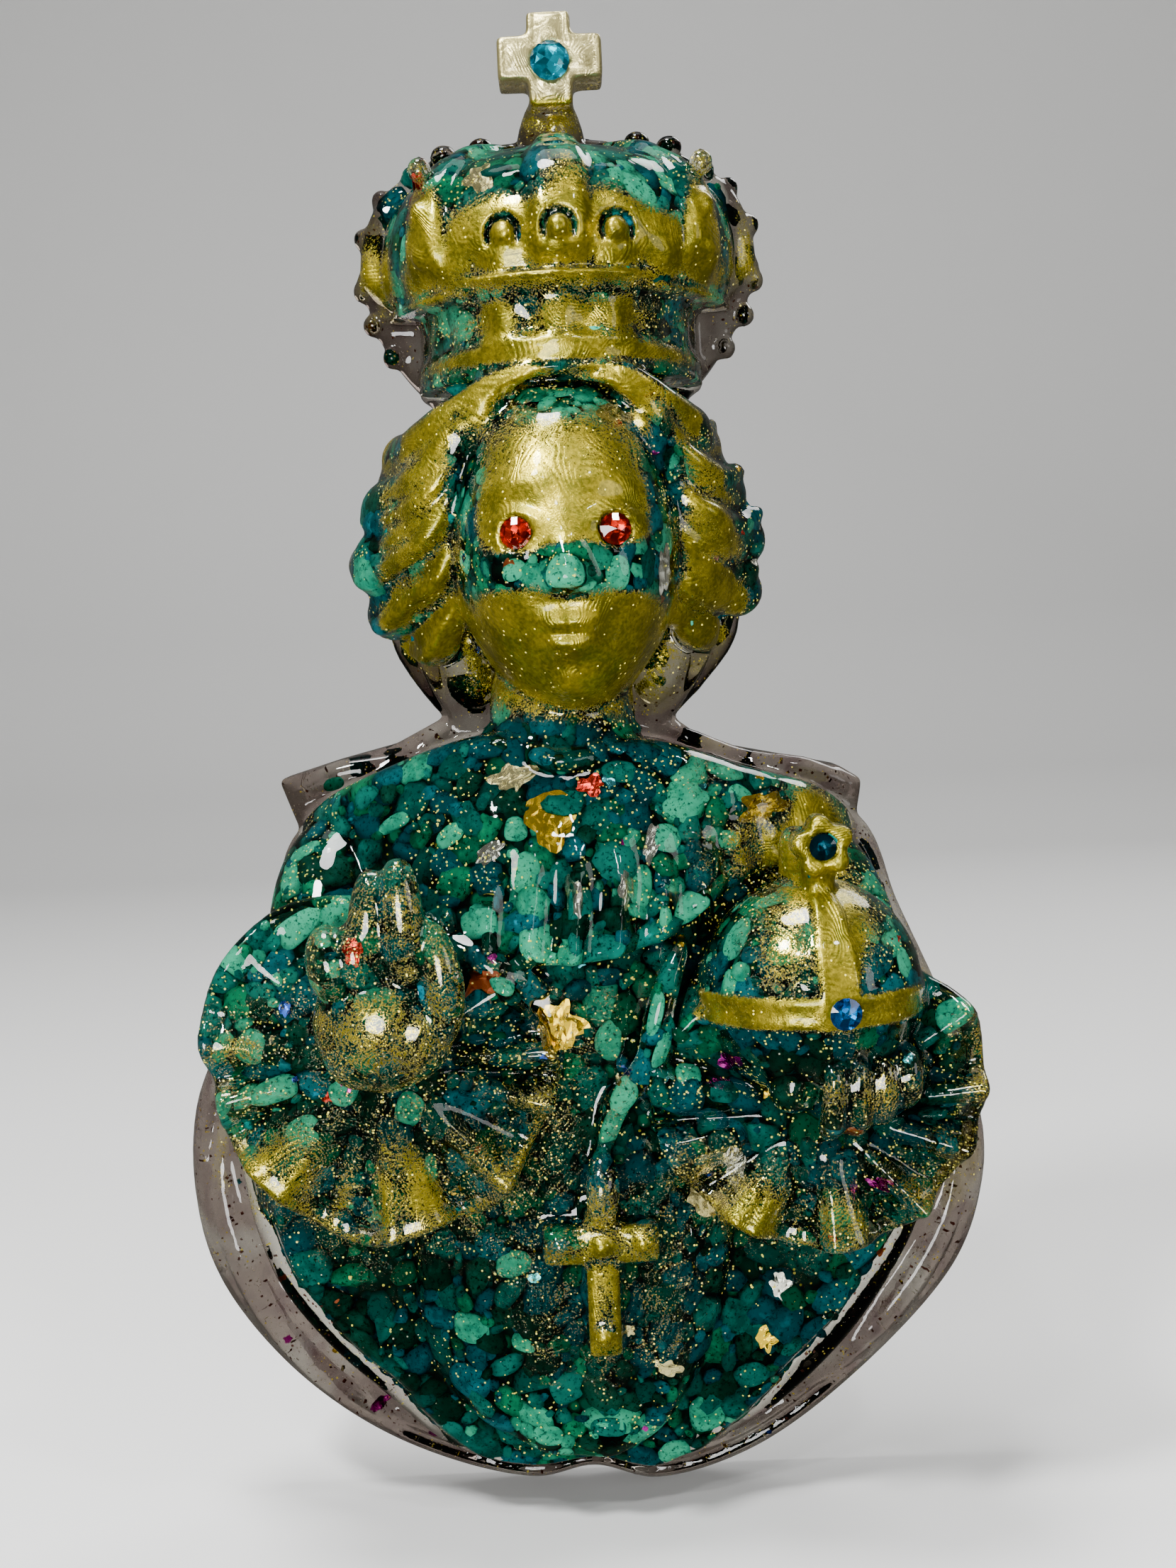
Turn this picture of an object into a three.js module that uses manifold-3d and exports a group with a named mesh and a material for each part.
import * as THREE from "three";
import { mergeVertices } from "three/addons/utils/BufferGeometryUtils.js";
import Module from "manifold-3d";

// Wall plaque of a crowned child figure, cast in clear resin in one piece, with five glued crystals.
// All sizes are millimetres. Every form is laid out as seen from the front:
// x to the viewer's right, y up, z out of the wall. The last step turns y up into z up.

const wasm = await Module();
wasm.setup();

// Overall sizes
const PLAQUE_TOP = 139.4;
const PLAQUE_BOTTOM = -139.3;
const PLAQUE_HALF_WIDTH = 78;
const SEAT_GAP = 0.3;
const SEAT_DEPTH = 0.8;

// Crown
const CROWN_HALF_WIDTH = 34.6;
const CROWN_HALF_DEPTH = 40.5;
const CROWN_CENTRE_Z = 6;
const CROWN_BASE = 86.3;
const CROWN_SHOULDER = 97;
const CROWN_SUMMIT = 117;
const STRAP_ANGLES = [-86, -44, 1, 50, 88];
const STRAP_HALF = 6.4;
const STRAP_SLOPE = 2;
const STRAP_RISE = 2.3;
const NICHE_X = [-18, -9.2, -0.4, 10, 20];
const NICHE_Y = 93.6;
const BEAD = 2.2;
const BAND_HALF_WIDTH = 27;
const BAND_HALF_DEPTH = 38;
const BAND_TOP = 88;
const BAND_BOTTOM = 72.6;
const BAND_PANEL_HALF = 27;
const BAND_PANEL_RISE = 0.9;
const CROSS = { x: 0.1, y: 131, arm: 9.6, width: 8, bottom: 124.2, back: 9, front: 20.4 };

// Head and hair
const HEAD = { x: -0.7, y: 41.5, z: 22, halfWidth: 21, halfHeight: 31, halfDepth: 33 };
const EYE_LINE = HEAD.y + 1.5;
const EYE_APART = 8.5;
const NOSE_BASE = HEAD.y - 8.5;
const MOUTH_LINE = HEAD.y - 16;
const NECK_X = -2.8;

// Cape, robe and mantle
const CAPE_CENTRE = [-1.5, -10];
const PLEAT_PITCH = 7;
const PLEAT_RISE = 1.5;
const MANTLE_CENTRE = [-2.5, -72];
const ROBE_CENTRE = [-5, -76];

// Sleeve ruffles, hands and orb
const LEFT_RUFFLE_CENTRE = [-37, -47];
const RIGHT_RUFFLE_CENTRE = [40, -60];
const FLUTES = 10;
const FLUTE_RISE = 1.9;
const ORB = { x: 39, y: -38.3, z: 42.3, radius: 19.6 };
const ORB_BAND_WIDTH = 6.4;
const ORB_BAND_RISE = 1;
const ORB_BELT_Y = -40;
const ORB_MERIDIAN = 9;
const ORB_RINGS = 12;
const FLOWER = { x: 41, y: -12.6, back: 46, front: 54, lobe: 2.2, reach: 3.4, lobes: 5 };

// Pendant cross
const PENDANT = { x: 0.2, top: -76, bottom: -102.6, half: 10.2, armTop: -79, armBottom: -85.8 };
const PENDANT_WIDTH = 5.8;

// Crystals: centre, girdle radius, tilt of the face to the side and up, in degrees
const CRYSTALS = {
  crown_crystal: { at: [0.1, 130, CROSS.front], radius: 3.6, side: 0, up: 0, table: 0.55 },
  orb_cross_crystal: { at: [40.8, -12.6, FLOWER.front], radius: 2.35, side: 0, up: 0, table: 0 },
  orb_band_crystal: { at: [42.7, -40, 62.6], radius: 2.8, side: 10, up: -4, table: 0 },
  eye_crystal_left: {
    at: [HEAD.x - EYE_APART, EYE_LINE, 51.7],
    radius: 2.75,
    side: -13,
    up: 0,
    table: 0,
  },
  eye_crystal_right: {
    at: [HEAD.x + EYE_APART, EYE_LINE, 51.7],
    radius: 2.75,
    side: 13,
    up: 0,
    table: 0,
  },
};

// Small helpers

const radians = (degrees) => (degrees * Math.PI) / 180;
const bell = (value, spread) => Math.exp(-((value / spread) ** 2));
const rise = (from, to, value) => THREE.MathUtils.smoothstep(value, from, to);

function ramp(values, s) {
  const place = s * (values.length - 1);
  const low = Math.min(Math.floor(place), values.length - 2);
  return THREE.MathUtils.lerp(values[low], values[low + 1], place - low);
}

// Turns a three.js geometry into a closed solid, dropping the faces that shrank to nothing at a pole.
function solidOf(geometry) {
  geometry.deleteAttribute("normal");
  geometry.deleteAttribute("uv");
  const merged = mergeVertices(geometry, 1e-3);
  const all = merged.index.array;
  const kept = [];
  for (let i = 0; i < all.length; i += 3) {
    const [a, b, c] = [all[i], all[i + 1], all[i + 2]];
    if (a !== b && b !== c && c !== a) kept.push(a, b, c);
  }
  return new wasm.Manifold(
    new wasm.Mesh({
      numProp: 3,
      vertProperties: new Float32Array(merged.attributes.position.array),
      triVerts: new Uint32Array(kept),
    }),
  );
}

// Moves every vertex of a geometry to the place that the given function returns.
function shaped(geometry, move) {
  const position = geometry.attributes.position;
  const vertex = new THREE.Vector3();
  for (let i = 0; i < position.count; i += 1) {
    vertex.fromBufferAttribute(position, i);
    const placed = move(vertex);
    position.setXYZ(i, placed.x, placed.y, placed.z);
  }
  return geometry;
}

// An ellipsoid, turned about the viewing direction by a number of degrees.
function ball([x, y, z], [rx, ry, rz], around = 8, rings = 6, turn = 0) {
  const geometry = new THREE.SphereGeometry(1, around, rings);
  geometry.scale(rx, ry, rz);
  geometry.rotateZ(radians(turn));
  geometry.translate(x, y, z);
  return solidOf(geometry);
}

// A soft rod with round ends along a curve, with a width across the view and a thickness out of it.
function rod(points, widths, depths = widths, around = 6, along = 5) {
  const path = new THREE.CatmullRomCurve3(points.map((p) => new THREE.Vector3(...p)));
  const out = new THREE.Vector3(0, 0, 1);
  const geometry = shaped(new THREE.SphereGeometry(1, around, along), (vertex) => {
    const s = (1 - vertex.y) / 2;
    const ring = Math.hypot(vertex.x, vertex.z);
    const end = (1 - Math.abs(vertex.y) ** 3) ** (1 / 3);
    const swell = ring > 1e-6 ? end / ring : 0;
    const tangent = path.getTangent(s);
    const side = new THREE.Vector3().crossVectors(out, tangent).normalize();
    const front = new THREE.Vector3().crossVectors(tangent, side);
    return path
      .getPoint(s)
      .addScaledVector(side, vertex.x * swell * ramp(widths, s))
      .addScaledVector(front, vertex.z * swell * ramp(depths, s));
  });
  return solidOf(geometry);
}

// A closed shell of rings inside one outline. Each row is [fraction of the outline, depth function].
function dish(outline, [cx, cy], rows, around) {
  const points = outline.map(([x, y]) => new THREE.Vector3(x, y, 0));
  const rim = new THREE.CatmullRomCurve3(points, true);
  const sphere = new THREE.SphereGeometry(1, around, rows.length + 1);
  sphere.rotateX(Math.PI / 2);
  const geometry = shaped(sphere, (vertex) => {
    const polar = Math.acos(THREE.MathUtils.clamp(vertex.z, -1, 1)) / Math.PI;
    const row = Math.round(polar * (rows.length + 1)) - 1;
    const atPole = row < 0 || row >= rows.length;
    const turn = atPole ? 0 : Math.atan2(vertex.y, vertex.x) / (2 * Math.PI);
    const fraction = (turn + 1) % 1;
    const [reach, depth] = rows[THREE.MathUtils.clamp(row, 0, rows.length - 1)];
    const edge = rim.getPoint(fraction);
    const share = atPole ? 0 : reach;
    const x = cx + (edge.x - cx) * share;
    const y = cy + (edge.y - cy) * share;
    return new THREE.Vector3(x, y, depth(x, y, fraction));
  });
  return solidOf(geometry);
}

// A form turned about the vertical with its vertices at the given angles, in degrees from the front.
// It is squeezed to two half axes, and raised where the given function returns a rise for an angle.
function turned(profile, [x, z], [rx, rz], angles, raised = () => 0) {
  const points = profile.map(([r, y]) => new THREE.Vector2(r, y));
  const step = (2 * Math.PI) / angles.length;
  const geometry = shaped(new THREE.LatheGeometry(points, angles.length), (vertex) => {
    const radius = Math.hypot(vertex.x, vertex.z);
    const turn = Math.atan2(vertex.x, vertex.z) / step;
    const angle = angles[(Math.round(turn) + angles.length) % angles.length];
    const reach = radius > 0 ? raised(angle, vertex.y) : 0;
    const across = (radius * rx + reach) * Math.sin(radians(angle));
    const out = (radius * rz + reach) * Math.cos(radians(angle));
    const lift = reach * (1 - radius) * 1.5;
    return new THREE.Vector3(x + across, vertex.y + lift, z + out);
  });
  return solidOf(geometry);
}

// Angles at which a turned form with raised straps needs its vertices, with plain steps between them.
function strapAngles(straps, half, slope, between) {
  const angles = [];
  straps.forEach((centre, i) => {
    angles.push(centre - half - slope, centre - half, centre + half, centre + half + slope);
    const next = i < straps.length - 1 ? straps[i + 1] : straps[0] + 360;
    const gap = next - centre - 2 * (half + slope);
    for (let k = 1; k <= between; k += 1) {
      angles.push(centre + half + slope + (gap * k) / (between + 1));
    }
  });
  return angles.map((angle) => ((angle + 540) % 360) - 180).sort((a, b) => lapFrom(a) - lapFrom(b));
}

const lapFrom = (angle) => (angle + 360) % 360;

// A flat plate of a closed outline from one depth to another, with rounded front edges.
function plate(outline, back, front, round) {
  const shape = new THREE.Shape(outline.map(([x, y]) => new THREE.Vector2(x, y)));
  const geometry = new THREE.ExtrudeGeometry(shape, {
    depth: front - back - 2 * round,
    bevelThickness: round,
    bevelSize: round,
    bevelOffset: -round,
    bevelSegments: 1,
    curveSegments: 6,
  });
  geometry.translate(0, 0, back + round);
  return solidOf(geometry);
}

const joined = (solids) => solids.reduce((whole, next) => whole.add(next));

// Mantle: the wide cloak that forms the back of the whole plaque, with folds along its edge

const mantleOutline = [
  [75, -72],
  [69, -50],
  [60, -28],
  [53, -11],
  [20, 2],
  [-25, 4],
  [-55, -10],
  [-61, -30],
  [-70, -46],
  [-77, -62],
  [-PLAQUE_HALF_WIDTH, -80],
  [-74, -96],
  [-60, -115],
  [-40, -129.5],
  [-15, -137.8],
  [-3, -136],
  [9, PLAQUE_BOTTOM],
  [26, -132.5],
  [46, -118],
  [66, -97],
  [74, -84],
];

function mantle() {
  const crown = (y) => 25 + 5 * rise(-135, -100, y);
  const ripple = (turn) => 0.6 * Math.sin(26 * Math.PI * turn);
  const rows = [
    [0.68, (x, y) => crown(y)],
    [0.84, (x, y, turn) => crown(y) - 4 + ripple(turn)],
    [0.89, (x, y, turn) => crown(y) - 4.6 + ripple(turn)],
    [0.93, () => 18],
    [0.955, () => 14.6],
    [0.975, () => 13.8],
    [1, () => 8.5],
    [0.985, () => -2],
  ];
  return dish(mantleOutline, MANTLE_CENTRE, rows, 48);
}

function mantleFolds() {
  return joined([
    rod(
      [
        [-57, -70, 26],
        [-45, -98, 28.5],
        [-34.5, -116, 25.5],
        [-24, -129, 19],
      ],
      [5, 5.6, 5.2, 3.4],
      [3.4, 4.2, 4, 2.8],
      5,
      6,
    ),
    rod(
      [
        [-70, -66, 15.5],
        [-64, -98, 17.5],
        [-50.5, -117, 16.5],
        [-33, -129, 13],
      ],
      [3.4, 4, 3.8, 2.6],
      [3, 3.4, 3.4, 2.4],
      5,
      6,
    ),
    rod(
      [
        [61, -74, 24],
        [51.5, -100, 26],
        [43, -112.5, 23.5],
        [29, -126, 18],
      ],
      [4.4, 5.2, 4.8, 3],
      [3.4, 4, 3.8, 2.6],
      5,
      6,
    ),
    rod(
      [
        [38, -94, 27],
        [28, -110.5, 27.5],
        [13, -127, 22],
      ],
      [3.6, 4.2, 3],
      [2.8, 3.4, 2.6],
      5,
      6,
    ),
  ]);
}

// Flat-edged layer behind the shoulders

function shoulderLayer() {
  const outline = [
    [-57.6, 0.4],
    [-54.2, -9],
    [-50, -30],
    [48, -30],
    [52.2, -13],
    [53.8, -4.2],
    [49.5, -1.4],
    [38.7, 1],
    [25.1, 4],
    [17.8, 9.5],
    [20, 13],
    [25, 19],
    [30.5, 25.7],
    [33, 34],
    [30, 62],
    [-30, 62],
    [-35, 33],
    [-33, 26],
    [-29.3, 19.5],
    [-24.6, 11.5],
    [-35.3, 6.2],
    [-46.4, 3.6],
  ];
  return plate(outline.reverse(), -3, 11, 1.6);
}

// Robe under the cape, with its rounded hem

function robe() {
  const outline = [
    [25, -76],
    [23, -50],
    [20, -22],
    [-26, -22],
    [-31, -50],
    [-34, -76],
    [-33, -98],
    [-30, -110],
    [-20.6, -120.4],
    [-8, -126],
    [5, -125],
    [14, -116],
    [21, -100],
  ];
  const dome = (x, y) => {
    const across = 1 - ((x + 5) / 38) ** 2;
    return 28 + 13 * across * (0.35 + 0.65 * rise(-128, -88, y));
  };
  const folds = (x, y) => 0.7 * Math.cos(x * 0.55) * rise(-60, -110, y);
  const rows = [
    [0.45, (x, y) => dome(x, y) + folds(x, y)],
    [0.78, (x, y) => dome(x, y) + folds(x, y)],
    [0.94, (x, y) => dome(x, y) + folds(x, y)],
    [1, (x, y) => dome(x, y) - 1.8],
    [0.98, () => 12],
  ];
  return dish(outline, ROBE_CENTRE, rows, 24);
}

// Two soft rolls of cloth that run from under the cape towards the pendant

function robeRolls() {
  return joined([
    rod(
      [
        [-25, -27, 44],
        [-16, -32.6, 46.5],
        [-7, -37.6, 43.5],
      ],
      [2.8, 3, 2.4],
    ),
    rod(
      [
        [17, -29, 43],
        [12.2, -40.5, 45.5],
        [10, -50, 44.5],
        [4, -58, 42.5],
        [1, -67, 42],
      ],
      [2.6, 2.8, 2.6, 2.2],
      [2.6, 2.8, 2.6, 2.2],
      5,
      7,
    ),
  ]);
}

// Shoulder cape with a scooped hem and pressed pleats

function cape() {
  const outline = [
    [52, -13],
    [46, -5.5],
    [30, 0.5],
    [14, 6],
    [-1, 7],
    [-16, 8.5],
    [-35, 3],
    [-49, -4],
    [-55, -11.5],
    [-53, -19],
    [-45.8, -21.5],
    [-34, -25.8],
    [-23, -29],
    [-13, -31.6],
    [-3.7, -32.2],
    [6, -31],
    [16, -27.8],
    [22.5, -23],
    [33, -18],
    [45, -17],
  ];
  const drape = (x, y) => {
    const across = Math.sqrt(Math.max(0.12, 1 - ((x + 1.5) / 57) ** 2));
    const pleat = Math.cos((2 * Math.PI * (x + 2)) / PLEAT_PITCH);
    const where = bell(x + 1, 24) * (0.25 + 0.75 * rise(-6, -26, y));
    return (39 + (5 - y) * 0.3) * across + PLEAT_RISE * pleat * where;
  };
  const rows = [
    [0.42, (x, y) => drape(x, y)],
    [0.75, (x, y) => drape(x, y)],
    [0.94, (x, y) => drape(x, y)],
    [1, (x, y) => drape(x, y) - 2],
    [0.97, () => 8],
  ];
  return dish(outline, CAPE_CENTRE, rows, 44);
}

// Upper arms under the cape

function arms() {
  return joined([
    rod(
      [
        [-42, -8, 16],
        [-46, -22, 27],
        [-44, -40, 38],
      ],
      [10, 11.5, 14],
      [9, 11, 10],
      8,
      5,
    ),
    rod(
      [
        [41, -12, 16],
        [45.5, -30, 24],
        [47, -56, 34],
      ],
      [9, 11.5, 14],
      [9, 11, 11],
      8,
      5,
    ),
    ball([24, -42, 26], [9, 9, 9]),
  ]);
}

// Sleeve ruffles: fans of flutes that spread from the wrist to a thin rim

function ruffle(outline, centre, wrist, rim, calm) {
  const wave = (turn) => {
    const strength = 1 - 0.8 * bell(((turn - calm + 1.5) % 1) - 0.5, 0.14);
    return FLUTE_RISE * strength * Math.cos(2 * Math.PI * FLUTES * turn);
  };
  const level = (share, turn) => THREE.MathUtils.lerp(wrist, rim, share) + wave(turn) * share;
  const rows = [
    [0.45, (x, y, turn) => level(0.3, turn)],
    [0.9, (x, y, turn) => level(1, turn)],
    [1, (x, y, turn) => level(1, turn) - 1.4],
    [0.96, (x, y, turn) => level(1, turn) - 4],
    [0.72, () => 16],
  ];
  return dish(outline, centre, rows, 4 * FLUTES);
}

function leftRuffle() {
  const outline = [
    [-6.5, -46],
    [-12, -37],
    [-24, -25],
    [-40, -18],
    [-54, -20],
    [-65, -30],
    [-69, -43],
    [-66.5, -52],
    [-65, -61],
    [-54.8, -72.8],
    [-43, -80.6],
    [-28, -77.6],
    [-18, -74.5],
    [-10, -62.2],
    [-5.6, -52.5],
  ];
  return ruffle(outline, LEFT_RUFFLE_CENTRE, 51, 47, 0.33);
}

function rightRuffle() {
  const outline = [
    [69.4, -55],
    [67.5, -43],
    [60, -37],
    [42, -30],
    [22, -38],
    [12.5, -47],
    [9.6, -58],
    [13.2, -69.6],
    [23.8, -79.8],
    [34, -84.4],
    [43.5, -85],
    [54, -81.8],
    [61, -75.2],
    [68, -64],
  ];
  return ruffle(outline, RIGHT_RUFFLE_CENTRE, 45, 46, 0.25);
}

// Blessing hand: palm out, two raised fingers, thumb upright, two fingers folded down

function blessingHand() {
  return joined([
    ball([-35.6, -39.4, 55], [12, 12, 9], 10, 6),
    ball([-29.4, -41, 58], [6.2, 8, 5.6], 7, 5, -12),
    rod(
      [
        [-30.4, -34, 58],
        [-30.8, -23, 60.5],
        [-31.4, -10.6, 60.5],
      ],
      [4.3, 4, 3.5],
      [4.1, 3.9, 3.3],
    ),
    rod(
      [
        [-36.4, -34, 57.6],
        [-36.8, -24, 59.6],
        [-35.8, -12.4, 59],
      ],
      [4, 3.8, 3.3],
      [4, 3.7, 3.2],
    ),
    rod(
      [
        [-26.2, -43, 58.5],
        [-24.4, -33, 61.5],
        [-26.4, -21.6, 61.5],
      ],
      [4, 3.7, 3],
      [4, 3.7, 3],
    ),
    ball([-43.2, -27.8, 58.6], [4.4, 7.4, 6], 6, 5, 10),
    ball([-39, -26.6, 60], [3.8, 6.8, 5.4], 6, 5, 4),
  ]);
}

// Orb with a raised belt, a raised meridian band and a flower-shaped cross on a short neck

function orb() {
  const half = ORB_BAND_WIDTH / 2;
  const onSphere = (y) => Math.sqrt(Math.max(0, 1 - ((y - ORB.y) / ORB.radius) ** 2));
  const heights = [];
  for (let turn = -90; turn <= 90; turn += 180 / ORB_RINGS) {
    const y = ORB.y + ORB.radius * Math.sin(radians(turn));
    if (Math.abs(y - ORB_BELT_Y) > half + 1) heights.push(y);
  }
  for (const side of [-1, 1]) heights.push(ORB_BELT_Y + side * (half + 0.7), ORB_BELT_Y + side * half);
  heights.sort((low, high) => low - high);
  const profile = heights.map((y) => [onSphere(y), y]);
  const meridianHalf = THREE.MathUtils.radToDeg(half / ORB.radius);
  const onBelt = (y) => Math.abs(y - ORB_BELT_Y) <= half + 0.1;
  const onMeridian = (angle) => Math.abs(angle - ORB_MERIDIAN) <= meridianHalf + 0.1;
  const raised = (angle, y) => (onBelt(y) || onMeridian(angle) ? ORB_BAND_RISE : 0);
  const angles = strapAngles([ORB_MERIDIAN], meridianHalf, 2, 13);
  const size = [ORB.radius, ORB.radius];
  return turned(profile, [ORB.x, ORB.z], size, angles, raised);
}

function flowerCross() {
  const steps = 15;
  const outline = [];
  for (let i = 0; i < steps; i += 1) {
    const angle = (2 * Math.PI * i) / steps;
    const lobe = Math.abs(Math.cos((FLOWER.lobes * (angle - radians(98))) / 2));
    const reach = FLOWER.reach + FLOWER.lobe * lobe;
    outline.push([FLOWER.x + reach * Math.cos(angle), FLOWER.y + reach * Math.sin(angle)]);
  }
  return joined([
    plate(outline, FLOWER.back, FLOWER.front, 1.1),
    rod(
      [
        [FLOWER.x, FLOWER.y - 1, 49],
        [FLOWER.x - 0.5, FLOWER.y - 5.5, 49],
        [FLOWER.x - 1, FLOWER.y - 9.5, 47.5],
      ],
      [3, 2.8, 3.6],
      [3.2, 3.2, 3.6],
    ),
    rod(
      [
        [FLOWER.x - 4, FLOWER.y + 3, 46],
        [FLOWER.x - 4, FLOWER.y - 4, 44],
        [FLOWER.x - 4, FLOWER.y - 12, 38],
      ],
      [3.4, 3, 3],
      [4, 4, 6],
    ),
  ]);
}

// Hand that holds the orb from below, with its fingers curled up over the front

function holdingHand() {
  const fingers = [];
  for (let i = 0; i < 4; i += 1) {
    const x = 40.6 + 4.4 * i;
    const drop = 0.55 * i * i;
    fingers.push(
      rod(
        [
          [x - 0.4, -62.6 + drop, 50],
          [x, -58.6 + drop, 57],
          [x + 0.2, -49.5 + 0.6 * i, 59.6 - 0.9 * i],
        ],
        [2.7, 2.6, 2.2],
        [2.9, 2.7, 2.3],
        5,
        5,
      ),
    );
  }
  return joined([
    ...fingers,
    ball([46, -53, 44], [13, 10, 12], 8, 5),
    ball([34.4, -54.4, 51], [4.4, 4.6, 5], 6, 5),
  ]);
}

// Pendant cross with small beads, hung from a knotted loop

function pendant() {
  const { x, top, bottom, half, armTop, armBottom } = PENDANT;
  const w = PENDANT_WIDTH / 2;
  const outline = [
    [x - w, top],
    [x - w, armTop],
    [x - half, armTop],
    [x - half, armBottom],
    [x - w, armBottom],
    [x - w, bottom],
    [x + w, bottom],
    [x + w, armBottom],
    [x + half, armBottom],
    [x + half, armTop],
    [x + w, armTop],
    [x + w, top],
  ];
  const bead = (bx, by) => ball([bx, by, 46.2], [1.7, 1.7, 1.5], 5, 4);
  return joined([
    plate(outline, 36, 46, 1.1),
    bead(x, -82.4),
    bead(x + 7.4, -82),
    bead(x - 7.4, -82.2),
    bead(x - 0.2, -98.6),
    rod(
      [
        [x + 0.6, -66, 42],
        [x + 0.6, -71.5, 45.5],
        [x + 0.2, -79, 45.5],
      ],
      [2.4, 3.1, 3],
      [2.4, 3, 2.8],
    ),
  ]);
}

// Neck, collar and head

function neck() {
  return joined([
    rod(
      [
        [NECK_X, 24, 22],
        [NECK_X, 10, 25],
        [NECK_X, -6, 26],
      ],
      [13, 13.4, 18],
      [12, 13, 16],
      10,
      5,
    ),
    rod(
      [
        [NECK_X - 14.5, 9.5, 28],
        [NECK_X, 3.2, 41],
        [NECK_X + 14.5, 8.5, 28],
      ],
      [1.5, 1.6, 1.5],
      [1.5, 1.6, 1.5],
      4,
      6,
    ),
  ]);
}

// Depth of the plain face surface, with its eye hollows, at a place on the front.
function faceDepth(x, y) {
  const across = (x - HEAD.x) / HEAD.halfWidth;
  const up = (y - HEAD.y) / HEAD.halfHeight;
  const inside = Math.max(0, 1 - across * across - up * up);
  return HEAD.z + HEAD.halfDepth * Math.sqrt(inside);
}

// Rise of cheeks and chin and fall of the eye hollows over that surface.
function softRelief(x, y) {
  const out = Math.abs(x - HEAD.x);
  const hollow = 1.9 * bell(out - EYE_APART, 4.2) * bell(y - EYE_LINE, 3.8);
  const cheek = 1.5 * bell(out - 10.5, 5.5) * bell(y - HEAD.y + 10.5, 6);
  const muzzle = 1.6 * bell(out, 6.5) * bell(y - MOUTH_LINE, 5);
  const chin = 2.2 * bell(out, 5) * bell(y - HEAD.y + 26, 4.4);
  return cheek + muzzle + chin - hollow;
}

function head() {
  const geometry = shaped(new THREE.SphereGeometry(1, 20, 16), (vertex) => {
    const jaw = 1 - 0.16 * rise(-0.15, -1, vertex.y);
    const x = HEAD.x + vertex.x * HEAD.halfWidth * jaw;
    const y = HEAD.y + vertex.y * HEAD.halfHeight;
    const relief = vertex.z > 0 ? softRelief(x, y) : 0;
    return new THREE.Vector3(x, y, HEAD.z + vertex.z * HEAD.halfDepth + relief);
  });
  return solidOf(geometry);
}

// A point on the shaped face, raised by a height.
function onFace(x, y, height) {
  return [x, y, faceDepth(x, y) + softRelief(x, y) + height];
}

function faceFeatures() {
  const x = HEAD.x;
  const forms = [
    rod(
      [onFace(x, EYE_LINE + 4, -1.2), onFace(x, EYE_LINE - 3, 0), onFace(x, NOSE_BASE + 0.6, 1.4)],
      [1.5, 2, 2.9],
      [1.6, 2.2, 2.8],
    ),
    rod(
      [onFace(x - 5.2, MOUTH_LINE, -0.3), onFace(x, MOUTH_LINE + 1.2, 0), onFace(x + 5.2, MOUTH_LINE, -0.3)],
      [0.7, 1.4, 0.7],
      [0.8, 1.3, 0.8],
      4,
      5,
    ),
    rod(
      [
        onFace(x - 4.2, MOUTH_LINE - 1.4, -0.3),
        onFace(x, MOUTH_LINE - 2.4, 0),
        onFace(x + 4.2, MOUTH_LINE - 1.4, -0.3),
      ],
      [0.7, 1.6, 0.7],
      [0.8, 1.4, 0.8],
      4,
      5,
    ),
  ];
  for (const side of [-1, 1]) {
    const eye = x + side * EYE_APART;
    forms.push(
      ball(onFace(x + side * 2.7, NOSE_BASE, 0.2), [1.9, 1.6, 2.2], 6, 4),
      rod(
        [
          onFace(eye - 4.4 * side, EYE_LINE + 1.4, 0.1),
          onFace(eye, EYE_LINE + 4, 0.2),
          onFace(eye + 5 * side, EYE_LINE + 1, 0.1),
        ],
        [0.7, 1, 0.7],
        [0.8, 1.2, 0.8],
        4,
        5,
      ),
      rod(
        [
          onFace(eye - 4.2 * side, EYE_LINE + 7, -0.2),
          onFace(eye + side, EYE_LINE + 8.6, -0.1),
          onFace(eye + 6.2 * side, EYE_LINE + 6.4, -0.2),
        ],
        [0.8, 1.2, 0.8],
        [1, 1.4, 1],
        4,
        5,
      ),
    );
  }
  return joined(forms);
}

// Hair parted in the middle, in thick wavy locks that sweep down and out

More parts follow.
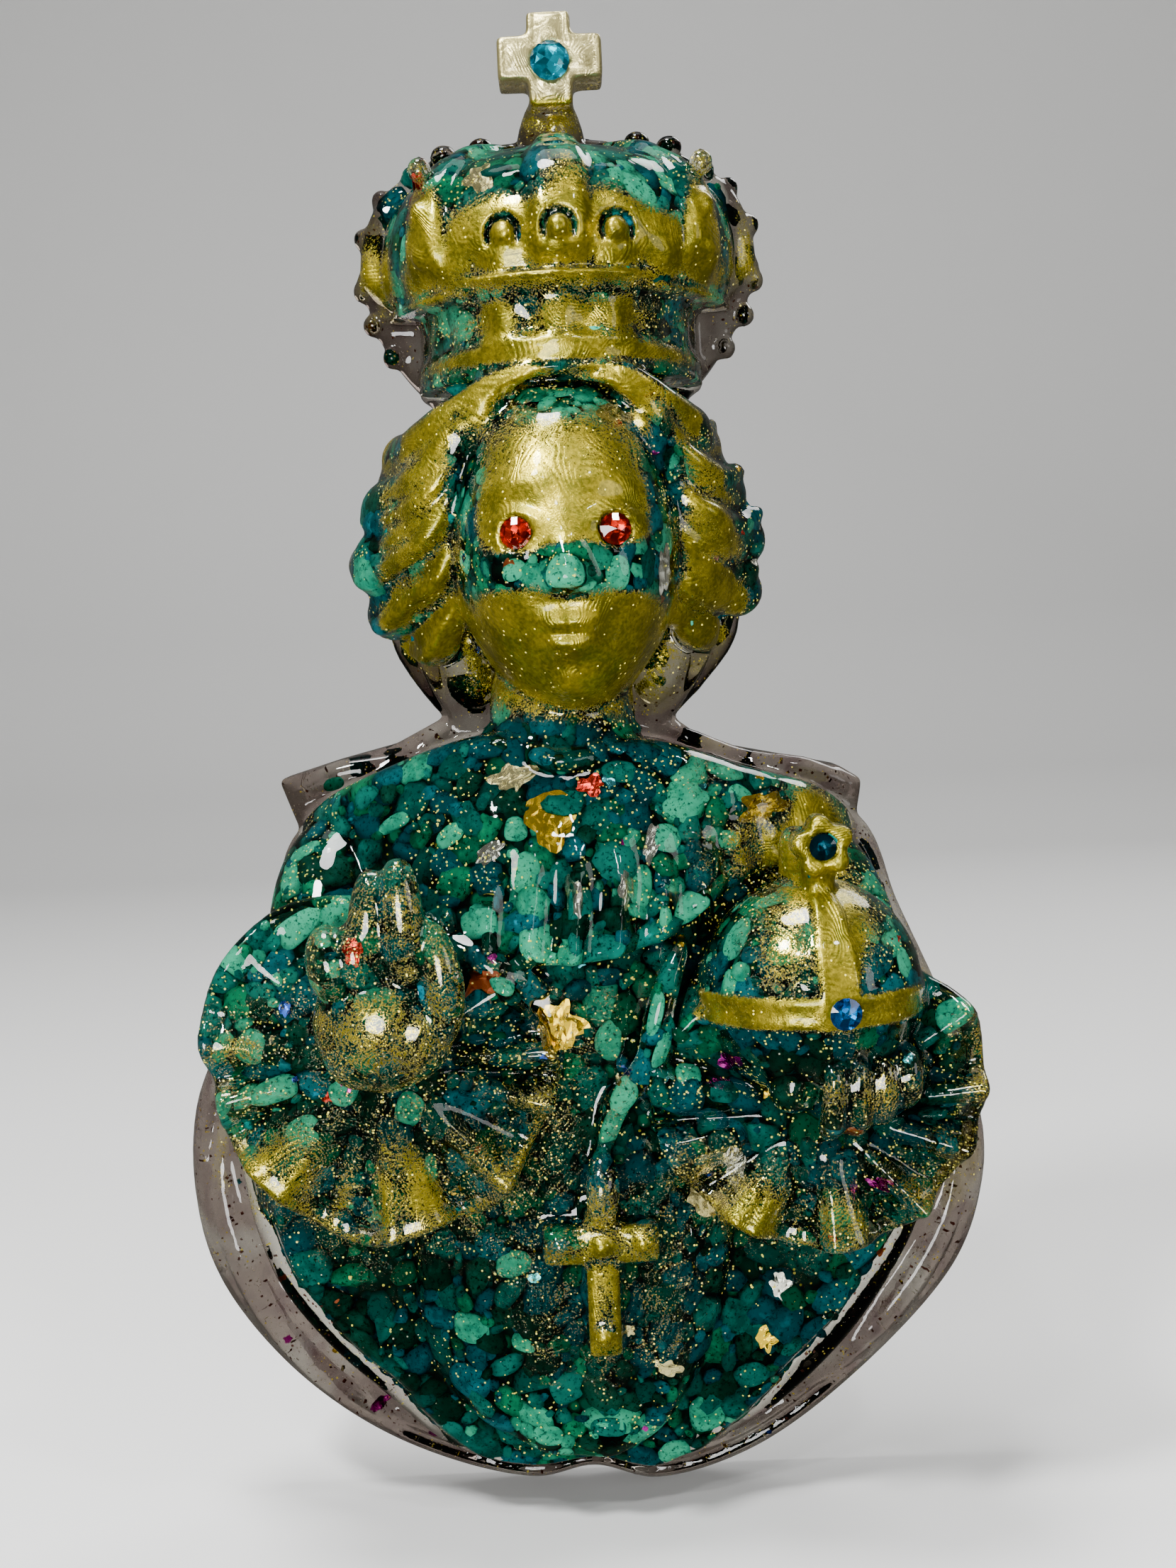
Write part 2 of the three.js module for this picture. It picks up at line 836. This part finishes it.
function hair() {
  const masses = [
    ball([-1, 64, 20], [25.5, 14, 28], 10, 6),
    ball([-25.5, 47, 12], [12.5, 20, 18], 7, 5),
    ball([22.5, 46, 12], [10.5, 20, 18], 7, 5),
  ];
  const locks = [
    { way: [[-3, 73, 47], [-13, 67.5, 42], [-23, 61.5, 33], [-33, 57.5, 19]], size: [3.2, 4.4, 5, 4] },
    { way: [[-17, 62, 39], [-22, 54.5, 35], [-29, 51, 28], [-34, 49.5, 16]], size: [3, 4, 4.4, 3.6] },
    { way: [[-20.5, 53, 33], [-24, 46, 32], [-31, 41.5, 24], [-36.5, 40, 12]], size: [3, 4.4, 5.2, 4.6] },
    { way: [[-20.5, 43, 30], [-23.5, 36.5, 28], [-29, 32.5, 21], [-33, 33, 11]], size: [3, 4, 4.6, 3.4] },
    { way: [[2, 73, 47], [10, 68.5, 42], [19, 62.5, 34], [26, 57, 20]], size: [3.2, 4.6, 5.2, 4.2] },
    { way: [[16.5, 60, 37], [20.5, 52, 34], [26, 47, 27], [30.5, 45, 15]], size: [3, 4, 4.6, 4.2] },
    { way: [[19, 49, 32], [22, 42, 30], [27.5, 36, 23], [31, 33.5, 12]], size: [3, 4.4, 5, 4.8] },
    { way: [[18.5, 37, 27], [20, 30, 24], [23, 26, 16], [26, 25.5, 10]], size: [2.6, 3.8, 4, 3.2] },
  ];
  const ends = [
    { way: [[-29, 38, 7], [-30, 25, 7], [-25, 14, 6], [-18, 7, 5]], size: [6, 5, 5, 5] },
    { way: [[28, 34, 7], [25.5, 23, 7], [20, 13, 6], [13, 7, 5]], size: [5.5, 4.6, 4.6, 5] },
  ];
  const made = locks.map(({ way, size }) => rod(way, size, size, 5, 5));
  const tails = ends.map(({ way, size }) => rod(way, size, size, 5, 5));
  return joined([...masses, ...made, ...tails]);
}

// Crown: a swelling body on a plain band, with beaded straps that meet under a cross

const crownProfile = [
  [0, CROWN_BASE],
  [0.78, CROWN_BASE],
  [0.9, 87.8],
  [0.985, 91.5],
  [1, CROWN_SHOULDER],
  [0.955, 103.5],
  [0.85, 110],
  [0.68, 114.6],
  [0.45, CROWN_SUMMIT],
  [0, CROWN_SUMMIT - 1],
];

function crownPlace(degrees, radius, y) {
  const angle = radians(degrees);
  return [
    radius * CROWN_HALF_WIDTH * Math.sin(angle),
    y,
    CROWN_CENTRE_Z + radius * CROWN_HALF_DEPTH * Math.cos(angle),
  ];
}

function crownBody() {
  const centre = [0, CROWN_CENTRE_Z];
  const half = [CROWN_HALF_WIDTH, CROWN_HALF_DEPTH];
  const onStrap = (angle) => STRAP_ANGLES.some((strap) => Math.abs(angle - strap) <= STRAP_HALF + 0.1);
  const raised = (angle, y) => (onStrap(angle) ? STRAP_RISE * rise(CROWN_BASE, 93, y) : 0);
  const angles = strapAngles(STRAP_ANGLES, STRAP_HALF, STRAP_SLOPE, 1);
  return turned(crownProfile, centre, half, angles, raised);
}

function crownBeads() {
  const forms = [];
  for (const x of NICHE_X) {
    const angle = THREE.MathUtils.radToDeg(Math.asin(x / CROWN_HALF_WIDTH));
    forms.push(ball(crownPlace(angle, 0.985, NICHE_Y), [BEAD, BEAD * 1.15, BEAD], 5, 4));
  }
  for (const angle of [STRAP_ANGLES[0], STRAP_ANGLES[4]]) {
    for (const [r, y] of [
      [1, 89.5],
      [1.06, 97.5],
      [0.96, 108.5],
    ]) {
      forms.push(ball(crownPlace(angle, r, y), [BEAD, BEAD, BEAD], 5, 4));
    }
  }
  for (const x of [-21.6, -13.2, 15.6, 25]) {
    const y = CROWN_SUMMIT + 0.4 - Math.max(0, Math.abs(x) - 14) * 0.18;
    forms.push(ball([x, y, 10], [BEAD + 0.6, BEAD, BEAD + 0.8], 5, 4));
  }
  return joined(forms);
}

function crownBand() {
  const profile = [
    [0, BAND_BOTTOM],
    [0.98, BAND_BOTTOM],
    [1.01, BAND_BOTTOM + 2],
    [0.97, BAND_BOTTOM + 4.4],
    [0.965, BAND_TOP - 4.6],
    [1, BAND_TOP - 3],
    [1, BAND_TOP],
    [0, BAND_TOP],
  ];
  const panel = (angle) => (Math.abs(angle) <= BAND_PANEL_HALF + 0.1 ? BAND_PANEL_RISE : 0);
  const half = [BAND_HALF_WIDTH, BAND_HALF_DEPTH];
  const angles = strapAngles([0, 180], BAND_PANEL_HALF, 2, 4);
  const inPanel = [-2, -1, 1, 2].map((i) => lapFrom((i * BAND_PANEL_HALF) / 3));
  const all = [...angles, ...inPanel].sort((a, b) => lapFrom(a) - lapFrom(b));
  return turned(profile, [-0.4, CROWN_CENTRE_Z + 2], half, all, panel);
}

function crownRear() {
  const outline = [
    [-37, 98],
    [-35.6, 88],
    [-30, 77],
    [-24, 66],
    [22, 66],
    [28.5, 76],
    [34.4, 86],
    [37, 95],
    [30, 110],
    [-30, 112],
  ];
  return plate(outline, -3, 9, 1.8);
}

function crownCross() {
  const { x, y, arm, width, bottom, back, front } = CROSS;
  const w = width / 2;
  const outline = [
    [x - w, PLAQUE_TOP],
    [x - w, y + w],
    [x - arm, y + w],
    [x - arm, y - w],
    [x - w, y - w],
    [x - w, bottom - 2],
    [x + w, bottom - 2],
    [x + w, y - w],
    [x + arm, y - w],
    [x + arm, y + w],
    [x + w, y + w],
    [x + w, PLAQUE_TOP],
  ];
  return joined([
    plate(outline, back, front, 1.2),
    rod(
      [
        [x - 0.3, 127, 10],
        [x - 0.5, 119, 9.5],
        [x - 0.6, 110, 9],
      ],
      [3.4, 5.6, 8.6],
      [4, 6, 8],
      8,
      5,
    ),
    ball([x + 0.6, 119.6, 14], [2.4, 2, 2.4], 6, 4),
  ]);
}

// Crystals and the shallow seats cut for them

function crystalPlace(geometry, { at, side, up }) {
  geometry.rotateX(Math.PI / 2);
  geometry.rotateX(radians(-up));
  geometry.rotateY(radians(side));
  geometry.translate(...at);
  return solidOf(geometry);
}

function crystal(spec) {
  const { radius, table } = spec;
  const height = radius * 0.42;
  const profile = [
    [0, SEAT_GAP - SEAT_DEPTH],
    [radius * 0.96, SEAT_GAP - SEAT_DEPTH],
    [radius, 0.2],
    [radius * Math.max(table, 0.5), table > 0 ? height : height * 0.72],
    [0, height],
  ].map(([r, y]) => new THREE.Vector2(r, y));
  return crystalPlace(new THREE.LatheGeometry(profile, 12), spec);
}

function crystalSeat(spec) {
  const reach = 6;
  const hole = new THREE.CylinderGeometry(
    spec.radius + SEAT_GAP,
    spec.radius + SEAT_GAP,
    reach,
    12,
  );
  hole.translate(0, reach / 2 - SEAT_DEPTH, 0);
  return crystalPlace(hole, spec);
}

// The casting is every form joined, then cut flat at the wall, with the crystal seats taken out

function casting() {
  const forms = [
    mantle(),
    mantleFolds(),
    shoulderLayer(),
    robe(),
    robeRolls(),
    cape(),
    arms(),
    leftRuffle(),
    rightRuffle(),
    blessingHand(),
    orb(),
    flowerCross(),
    holdingHand(),
    pendant(),
    neck(),
    head(),
    faceFeatures(),
    hair(),
    crownBody(),
    crownBeads(),
    crownBand(),
    crownRear(),
    crownCross(),
  ];
  const behind = new THREE.BoxGeometry(400, 400, 100);
  behind.translate(0, 0, -50);
  let whole = joined(forms).subtract(solidOf(behind));
  for (const spec of Object.values(CRYSTALS)) {
    whole = whole.subtract(crystalSeat(spec));
  }
  return whole;
}

// Finished meshes

function geometryOf(solid) {
  const mesh = solid.getMesh();
  const stride = mesh.numProp;
  const count = mesh.vertProperties.length / stride;
  const positions = new Float32Array(count * 3);
  for (let i = 0; i < count; i += 1) {
    positions.set(mesh.vertProperties.subarray(i * stride, i * stride + 3), i * 3);
  }
  const geometry = new THREE.BufferGeometry();
  geometry.setAttribute("position", new THREE.BufferAttribute(positions, 3));
  geometry.setIndex(Array.from(mesh.triVerts));
  geometry.rotateX(Math.PI / 2);
  geometry.computeVertexNormals();
  return geometry;
}

const resin = new THREE.MeshStandardMaterial({ color: 0x4b7a4a, roughness: 0.12, metalness: 0.2 });
const glass = (color) => new THREE.MeshStandardMaterial({ color, roughness: 0.05, metalness: 0 });

const crystalColours = {
  crown_crystal: 0x1793ad,
  orb_cross_crystal: 0x12323a,
  orb_band_crystal: 0x0f5f8a,
  eye_crystal_left: 0x8a2412,
  eye_crystal_right: 0x8a2412,
};

const plaque = new THREE.Group();
const body = new THREE.Mesh(geometryOf(casting()), resin);
body.name = "resin_cast";
plaque.add(body);
for (const [name, spec] of Object.entries(CRYSTALS)) {
  const stone = new THREE.Mesh(geometryOf(crystal(spec)), glass(crystalColours[name]));
  stone.name = name;
  plaque.add(stone);
}

export default plaque;
